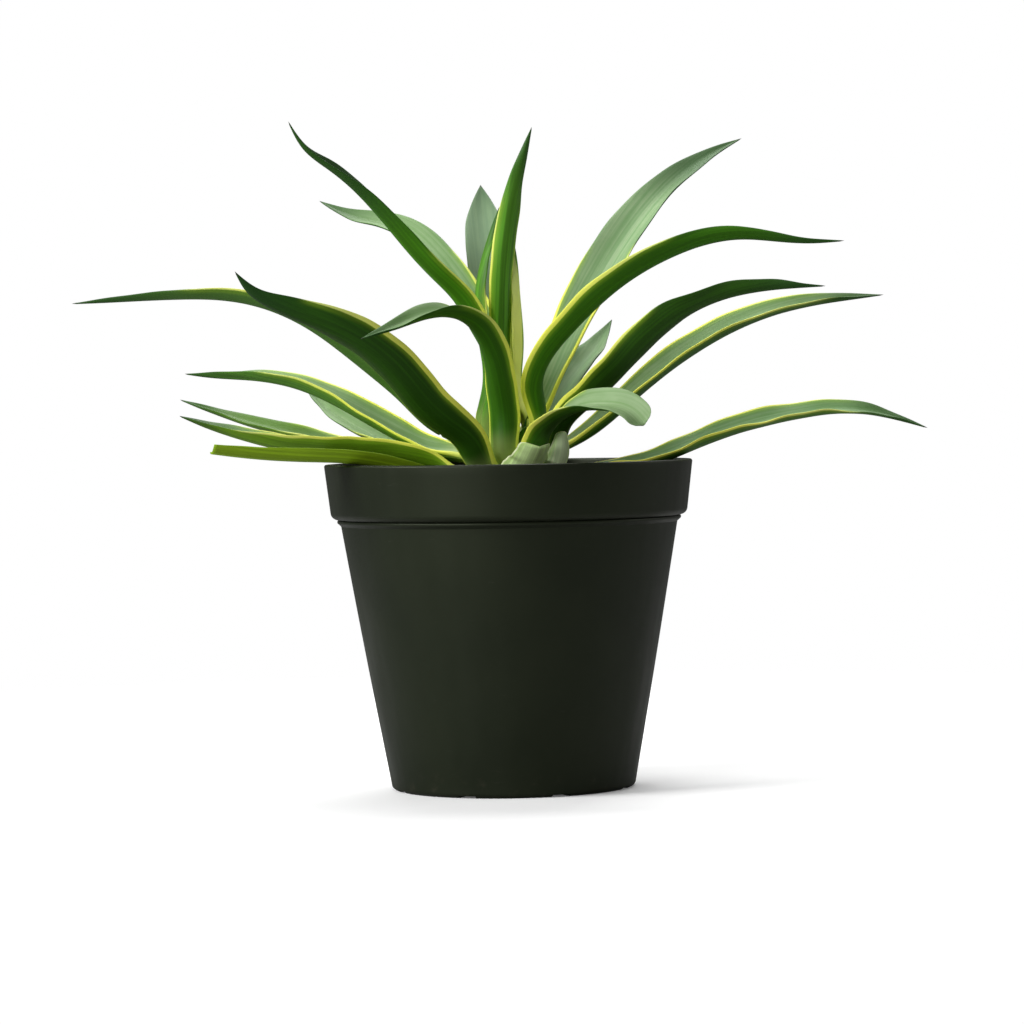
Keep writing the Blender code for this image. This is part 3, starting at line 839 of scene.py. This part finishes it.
def drain_cutters():
    """Round holes through the floor, and the shallow spouts that lead out under the wall."""
    for i in range(DRAIN_HOLES):
        turn = Matrix.Rotation(2 * math.pi * (i + 0.5) / DRAIN_HOLES, 4, "Z")
        bpy.ops.mesh.primitive_cylinder_add(
            vertices=HOLE_SIDES, radius=DRAIN_HOLE_RADIUS, depth=4 * POT_FLOOR
        )
        hole = bpy.context.object
        hole.matrix_world = turn @ Matrix.Translation((CHANNEL_RADIUS, 0, 0))
        yield hole
        bpy.ops.mesh.primitive_cube_add(size=1)
        spout = bpy.context.object
        length = BASE_RADIUS - CHANNEL_RADIUS + WALL
        spout.scale = (length, SPOUT_WIDTH, 2 * CHANNEL_DEPTH)
        out = Matrix.Translation((CHANNEL_RADIUS + length / 2, 0, 0))
        spout.matrix_world = turn @ out @ spout.matrix_basis
        yield spout


def make_pot():
    _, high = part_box("pot")
    mesh = turned("pot_shell", pot_profile(high.x, high.z), POT_TURNS)
    blank = bpy.data.objects.new("pot_blank", mesh)
    bpy.context.scene.collection.objects.link(blank)
    cutters = list(drain_cutters())
    for cutter in cutters:
        boolean = blank.modifiers.new("drain", "BOOLEAN")
        boolean.object = cutter
        boolean.operation = "DIFFERENCE"
    bpy.context.view_layer.update()
    cut = blank.evaluated_get(bpy.context.evaluated_depsgraph_get())
    shell = bpy.data.meshes.new_from_object(cut)
    shell.name = "pot_shell"
    for old in (blank, *cutters):
        bpy.data.objects.remove(old)
    shell.materials.clear()
    shell.shade_smooth()
    shell.set_sharp_from_angle(angle=math.radians(POT_SHARP))
    add_piece("pot_shell", shell, pot_material(high.z), "pot_plastic", ("pot",))


def pot_material(height):
    t = Tree("moulded_plastic")
    place = t.place()
    z = t.parts_of(place)[2]
    grain = t.noise(place, 2600.0, 2.0)
    cloud = t.noise(place, 14.0, 4.0)
    flow = t.noise(t.scaled(place, (90.0, 90.0, 5.0)), 1.0, 3.0)
    scuffs = t.noise(t.scaled(place, (60.0, 60.0, 420.0)), 1.0, 5.0, 0.7)
    colour = t.mix(t.ramp(cloud, 0.3, 0.7), POT_DARK, POT_LIGHT)
    colour = t.mix(t.ramp(scuffs, 0.64, 0.80, 0.0, 0.35), colour, SCUFF)
    dust = t.noise(place, 160.0, 5.0, 0.65)
    near_foot = t.ramp(z, 0.0, 0.020, 1.0, 0.0)
    near_rim = t.ramp(z, height - 0.004, height, 0.0, 0.35)
    near_ends = t.math("MAXIMUM", near_foot, near_rim)
    dusty = t.math("MULTIPLY", t.ramp(dust, 0.52, 0.78, 0.0, 0.22), near_ends)
    colour = t.mix(dusty, colour, DUST)
    rough = t.math("ADD", t.ramp(flow, 0.25, 0.75, 0.40, 0.50), t.math("MULTIPLY", dusty, 0.3))
    relief = t.math("ADD", t.math("MULTIPLY", grain, 0.35), t.math("MULTIPLY", flow, 0.65))
    normal = t.bump(relief, 0.00012, 0.5)
    sheen = {"Specular_IOR_Level": 0.30, "Specular_Tint": (0.90, 1.0, 0.74, 1.0)}
    return t.finish(colour, rough, normal, **sheen)


# ---------------------------------------------------------------------------------------------
# Soil


def uneven(x, y):
    """Height of the soil's unevenness at a place, from 0 to 1 and a little beyond."""
    broad = noise.noise(Vector((x * 45, y * 45, 3.1)))
    fine = noise.noise(Vector((x * 210, y * 210, 8.4)))
    return 0.5 + 0.45 * broad + 0.35 * fine


def widest_at(mesh, height):
    """The largest radius among a mesh's corners at a height."""
    at = [v.co for v in mesh.vertices if abs(v.co.z - height) < MM / 50]
    return max(math.hypot(place.x, place.y) for place in at)


def fallen(crown, top_edge, share):
    """Height of the soil's surface at a share of the way from its middle to the wall."""
    return crown + (top_edge - crown) * share**SOIL_CURVE


def soil_mesh():
    """The CAD soil's outline with a fine, uneven top."""
    mesh = nodes["potting_soil"].data
    heights = sorted({round(v.co.z, 5) for v in mesh.vertices})
    radii = {z: widest_at(mesh, z) for z in heights}
    low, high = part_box("potting_soil")
    top_edge = max(z for z in heights if radii[z] > 0.99 * max(radii.values()))
    below = [z for z in heights if z < top_edge and radii[z] > radii[heights[0]] * 0.99]
    outline = [(radii[z], z) for z in reversed(below)]
    profile = []
    edge = max(radii.values())
    for i in range(SOIL_RINGS + 1):
        share = i / SOIL_RINGS
        profile.append((edge * share, fallen(high.z, top_edge, share)))
    made = turned("soil_bed", profile + outline + [(0.0, low.z)], SOIL_TURNS)
    for vertex in made.vertices:
        flat = math.hypot(vertex.co.x, vertex.co.y)
        if vertex.co.z > top_edge - MM / 10:
            lift = (uneven(vertex.co.x, vertex.co.y) - 0.5) * SOIL_ROUGH
            vertex.co.z += lift * (1 - smooth((flat - edge + 2 * MM) / (2 * MM)))
    made.shade_smooth()
    return made, edge, top_edge, high.z


Lumps = namedtuple("Lumps", "count sizes squash sharp bury")
CRUMB = Lumps(CRUMBS, (0.7 * MM, 2.6 * MM), squash=(0.55, 0.9), sharp=False, bury=0.4)
CHIP = Lumps(CHIPS, (1.4 * MM, 4.2 * MM), squash=(0.22, 0.38), sharp=True, bury=-0.6)
GRAIN = Lumps(PERLITE, (0.8 * MM, 1.9 * MM), squash=(0.7, 0.95), sharp=False, bury=0.2)


def lumps(name, kind, chance, reach, surface):
    """Small irregular bodies strewn on the soil and half sunk in it, as one mesh."""
    count, sizes, squash, sharp, bury = kind
    pattern = bmesh.new()
    bmesh.ops.create_icosphere(pattern, subdivisions=1 if sharp else 2, radius=1.0)
    pattern.verts.ensure_lookup_table()
    ball = np.array([v.co for v in pattern.verts])
    ball_faces = [tuple(v.index for v in face.verts) for face in pattern.faces]
    pattern.free()
    points = []
    faces = []
    for number in range(count):
        radius = reach[0] + (reach[1] - reach[0]) * math.sqrt(chance.random())
        angle = chance.uniform(0, 2 * math.pi)
        size = sizes[0] + (sizes[1] - sizes[0]) * chance.random() ** 2.2
        stretch = np.array([1.0, chance.uniform(0.6, 0.95), chance.uniform(*squash)]) * size
        seed = Vector((number * 1.7, number * 0.31, 2.0))
        rough = [1 + 0.45 * noise.noise(Vector(p) * 1.3 + seed) for p in ball]
        tilt = FLAT_TILT if squash[1] < 0.5 else ANY_TILT
        spin = Matrix.Rotation(chance.uniform(0, 6.28), 3, "Z")
        spin = spin @ Matrix.Rotation(chance.uniform(-tilt, tilt), 3, "X")
        body = (ball * np.array(rough)[:, None] * stretch) @ np.array(spin).T
        x, y = radius * math.cos(angle), radius * math.sin(angle)
        lift = surface(x, y) + size * squash[0] * (1 - bury)
        start = len(points)
        points.extend(body + np.array([x, y, lift]))
        faces += [tuple(start + corner for corner in face) for face in ball_faces]
    return mesh_from(name, points, faces, sharp=35 if sharp else 180)


def make_soil():
    mesh, edge, top_edge, crown = soil_mesh()
    add_piece("soil_bed", mesh, soil_material("soil_peat", 0.85), "soil", ("potting_soil",))

    def surface(x, y):
        share = math.hypot(x, y) / edge
        return fallen(crown, top_edge, share) + (uneven(x, y) - 0.5) * SOIL_ROUGH

    _, stem_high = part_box("crown_stem")
    reach = (stem_high.x, edge - SOIL_MARGIN)
    chance = random.Random(SOIL_SEED)
    crumbs = lumps("soil_crumbs", CRUMB, chance, reach, surface)
    add_piece("soil_crumbs", crumbs, soil_material("soil_crumb", 1.25), "soil")
    chips = lumps("bark_chips", CHIP, chance, reach, surface)
    add_piece("bark_chips", chips, bark_material(), "soil")
    white = lumps("perlite_grains", GRAIN, chance, reach, surface)
    add_piece("perlite_grains", white, perlite_material(), "soil")


def soil_material(name, light):
    """Peat with fibres, its colours lightened or darkened as one."""
    t = Tree(name)
    place = t.place()
    grains = t.noise(place, 900.0, 6.0, 0.7)
    patches = t.noise(place, 70.0, 3.0)
    dark = times((0.012, 0.0075, 0.0045), light)
    brown = times((0.055, 0.034, 0.019), light)
    damp = times((0.028, 0.018, 0.010), light)
    colour = t.mix(t.ramp(grains, 0.35, 0.70), dark, brown)
    colour = t.mix(t.ramp(patches, 0.45, 0.75, 0.0, 0.6), colour, damp)
    fibres = t.noise(t.scaled(place, (500.0, 90.0, 500.0)), 1.0, 4.0, 0.65)
    colour = t.mix(t.ramp(fibres, 0.68, 0.78, 0.0, 0.5), colour, (0.13, 0.085, 0.045))
    normal = t.bump(t.math("ADD", grains, t.math("MULTIPLY", fibres, 0.6)), 0.0008, 0.8)
    return t.finish(colour, t.ramp(patches, 0.3, 0.7, 0.80, 0.97), normal, Specular_IOR_Level=0.25)


def bark_material():
    t = Tree("bark")
    place = t.place()
    grain = t.noise(t.scaled(place, (1400.0, 260.0, 1400.0)), 1.0, 5.0, 0.65)
    tone = t.noise(place, 120.0, 2.0)
    colour = t.mix(t.ramp(grain, 0.3, 0.7), (0.030, 0.014, 0.007), (0.120, 0.062, 0.030))
    colour = t.mix(t.ramp(tone, 0.4, 0.7, 0.0, 0.7), colour, (0.060, 0.036, 0.022))
    return t.finish(colour, 0.85, t.bump(grain, 0.0005, 0.8), Specular_IOR_Level=0.25)


def perlite_material():
    t = Tree("perlite")
    place = t.place()
    pits = t.cells(place, 2200.0)
    stain = t.noise(place, 260.0, 3.0)
    colour = t.mix(t.ramp(stain, 0.42, 0.72, 0.0, 0.75), (0.66, 0.64, 0.58), (0.24, 0.18, 0.12))
    return t.finish(colour, 0.9, t.bump(pits, 0.0003, 0.8), Specular_IOR_Level=0.3)


# ---------------------------------------------------------------------------------------------
# Crown: the short stem, wrapped in short pointed leaf bases


def crown_body(radius, low, high, waist):
    """The dome that the leaves grow from, slightly ridged."""
    turns, rings = CROWN_TURNS, CROWN_RINGS
    wide = radius * CROWN_SHARE
    points = []
    for i in range(rings):
        share = i / (rings - 1)
        if share < CROWN_WAIST:
            flat = wide
            z = low + (waist - low) * share / CROWN_WAIST
        else:
            angle = math.pi / 2 * (share - CROWN_WAIST) / (1 - CROWN_WAIST)
            flat = wide * math.cos(angle)
            z = waist + (high - waist - 0.5 * MM) * math.sin(angle)
        for k in range(turns):
            a = 2 * math.pi * k / turns
            ridge = 1 + 0.02 * math.sin(13 * a + 9 * share) * math.cos(7 * a - 5 * share)
            points.append((flat * ridge * math.cos(a), flat * ridge * math.sin(a), z))
    faces = [tuple(reversed(range(turns)))]
    for i in range(rings - 1):
        for k in range(turns):
            after = (k + 1) % turns
            here, there = i * turns, (i + 1) * turns
            faces.append((here + k, here + after, there + after, there + k))
    count = len(points)
    steady = {"along_mm": 3.0, "share": 0.1, "from_edge_mm": 9.0, "right_side": 0.0, "upper_face": 0.0}
    attributes = {key: np.full(count, value) for key, value in steady.items()}
    attributes["off_middle_mm"] = np.arange(count) % turns * 1.6
    return Solid(np.array(points), faces, attributes)


def crown_scale(foot, outward, length, width, lean):
    """A short pointed leaf base that hugs the crown: its foot, and the way it faces."""
    stations, places = 22, 11
    along = np.linspace(0.0, length, stations)
    share = along / length
    across = np.sin(np.linspace(-math.pi / 2, math.pi / 2, places))
    up = Vector((0, 0, 1))
    side = outward.cross(up).normalized()
    curl = lean * share**1.6
    centre = np.array([foot + up * a + outward * (a * c) for a, c in zip(along, curl)])
    half = width / 2 * np.clip(1 - share**2.4, 0, 1) ** 0.8
    wrap = 0.45 * width * (1 - 0.4 * share)
    offset = across[None, :] * half[:, None]
    inward = -(across[None, :] ** 2) * wrap[:, None] * (half[:, None] / (width / 2))
    surface = centre[:, None] + offset[..., None] * np.array(side) + inward[..., None] * np.array(outward)
    normal = -np.tile(np.array(outward), (stations, places, 1))
    rounding = np.sqrt(np.clip(1 - across**2, 0, 1))
    thick = SCALE_THICKNESS * (1 - 0.75 * share)[:, None] * rounding[None, :]
    shift = normal * thick[..., None]
    return closed_blade(surface + shift, surface - shift, along, surface)


def make_crown():
    _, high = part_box("crown_stem")
    _, soil_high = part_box("potting_soil")
    radius = high.x
    tall = high.z - soil_high.z
    solids = [crown_body(radius, soil_high.z - CROWN_SINK, high.z, soil_high.z + tall * CROWN_WAIST)]
    chance = random.Random(CROWN_SEED)
    for i in range(CROWN_SCALES):
        share = i / (CROWN_SCALES - 1)
        angle = FIRST_SCALE_ANGLE + i * GOLDEN_ANGLE
        outward = Vector((math.cos(angle), math.sin(angle), 0))
        out = radius * (0.98 - 0.62 * share**1.3)
        foot = outward * out + Vector((0, 0, soil_high.z + tall * 0.75 * share))
        length = (17 + 15 * share) * MM * chance.uniform(0.9, 1.1)
        width = (15 - 5 * share) * MM
        solids.append(crown_scale(foot, outward, length, width, 0.30 - 0.22 * share))
    mesh = joined("crown", solids)
    add_piece("crown", mesh, leaf_material("crown_stem"), "stem", ("crown_stem",))


# ---------------------------------------------------------------------------------------------
# Stage


def make_camera():
    data = bpy.data.cameras.new("camera")
    data.lens = LENS
    data.sensor_width = SENSOR
    data.clip_end = 30.0
    camera = bpy.data.objects.new("camera", data)
    bpy.context.scene.collection.objects.link(camera)
    camera.location = (0.0, -CAMERA_DISTANCE, CAMERA_HEIGHT)
    look = Vector(AIM) - camera.location
    turn = look.to_track_quat("-Z", "Y").to_matrix().to_4x4()
    turn = turn @ Matrix.Rotation(math.radians(CAMERA_ROLL), 4, "Z")
    camera.rotation_euler = turn.to_euler()
    bpy.context.scene.camera = camera


def area_light(name, place, aim, size, power):
    data = bpy.data.lights.new(name, "AREA")
    data.size = size
    data.energy = power
    lamp = bpy.data.objects.new(name, data)
    bpy.context.scene.collection.objects.link(lamp)
    lamp.location = place
    lamp.rotation_euler = (Vector(aim) - Vector(place)).to_track_quat("-Z", "Y").to_euler()


def seen_and_lit(tree, seen, lit):
    """A colour that the camera sees as one value and everything else as another."""
    path = tree.nodes.new("ShaderNodeLightPath")
    chosen = tree.nodes.new("ShaderNodeMix")
    chosen.data_type = "RGBA"
    chosen.inputs[6].default_value = (lit, lit, lit, 1.0)
    chosen.inputs[7].default_value = (seen, seen, seen, 1.0)
    tree.links.new(path.outputs["Is Camera Ray"], chosen.inputs[0])
    return chosen.outputs[2]


def make_stage():
    """A white studio: the room behind the camera is dim, so dark plastic keeps its depth."""
    world = bpy.data.worlds.new("studio")
    bpy.context.scene.world = world
    world.use_nodes = True
    background = world.node_tree.nodes["Background"]
    world.node_tree.links.new(seen_and_lit(world.node_tree, 1.0, ROOM_LIGHT), background.inputs["Color"])
    for lamp in LAMPS:
        area_light(*lamp)
    bpy.ops.mesh.primitive_circle_add(vertices=96, radius=FLOOR_RADIUS, fill_type="NGON")
    floor = bpy.context.object
    floor.name = "floor"
    t = Tree("floor_white")
    x, y, _ = t.parts_of(t.place())
    flat = t.math("SQRT", t.math("ADD", t.math("MULTIPLY", x, x), t.math("MULTIPLY", y, y)))
    colour = seen_and_lit(t.tree, FLOOR_SEEN, FLOOR_LIT)
    t.plug(t.shader.inputs["Alpha"], t.ramp(flat, FLOOR_RADIUS * 0.5, FLOOR_RADIUS, 1.0, 0.0))
    t.plug(t.shader.inputs["Emission Color"], seen_and_lit(t.tree, FLOOR_GLOW, 0.0))
    floor.data.materials.append(t.finish(colour, 1.0, Specular_IOR_Level=0.0, Emission_Strength=1.0))
    bpy.context.scene.view_settings.view_transform = "Standard"


make_camera()
make_leaves()
make_crown()
make_soil()
make_pot()
make_stage()
